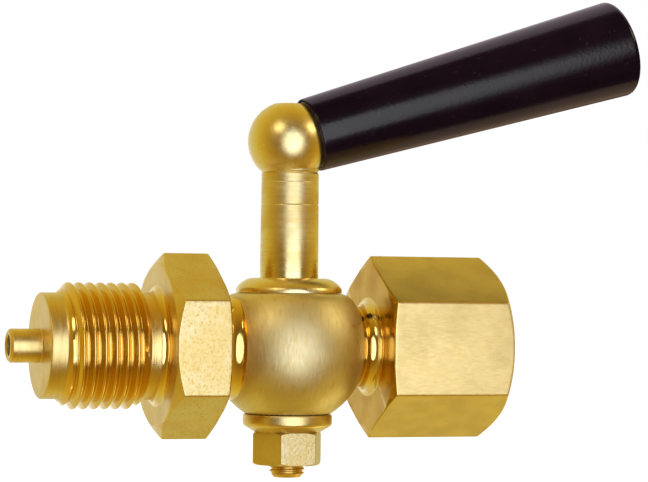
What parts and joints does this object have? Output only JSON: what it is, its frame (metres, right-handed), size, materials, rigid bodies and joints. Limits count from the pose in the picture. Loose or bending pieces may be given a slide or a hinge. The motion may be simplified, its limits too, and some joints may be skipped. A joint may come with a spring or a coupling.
{
  "type": "pressure gauge valve",
  "caption": "Brass taper-plug gauge cock: threaded spigot with centring pin, hexagon collar, ball housing and hexagon gauge socket, turned by a lever with a black tapered grip.",
  "frame": {"origin": "centre of the spigot's sealing face, at the foot of the centring pin", "axes": "+X along the flow, from the spigot to the gauge socket; +Z along the plug's stem, towards the lever"},
  "size_m": [0.1113, 0.027, 0.0828],
  "materials": {
    "body_brass": "forged and blasted ball, milled hexagons, turned spigot",
    "plug_brass": "turned, with fine rings",
    "washer_brass": "turned",
    "nut_brass": "milled",
    "stud_steel": "plain threaded steel",
    "grip_black": "moulded black phenolic, half gloss"
  },
  "bodies": {
    "housing": {"valve_body": "body_brass"},
    "plug_and_lever": {"plug": "plug_brass", "washer": "washer_brass", "nut": "nut_brass", "handle_stud": "stud_steel", "handle_grip": "grip_black"}
  },
  "joints": [
    {"name": "plug_turn", "type": "hinge", "parent": "housing", "child": "plug_and_lever", "pos_m": [0.0429, 0, 0], "axis": [0, 0, 1], "continuous": true}
  ]
}
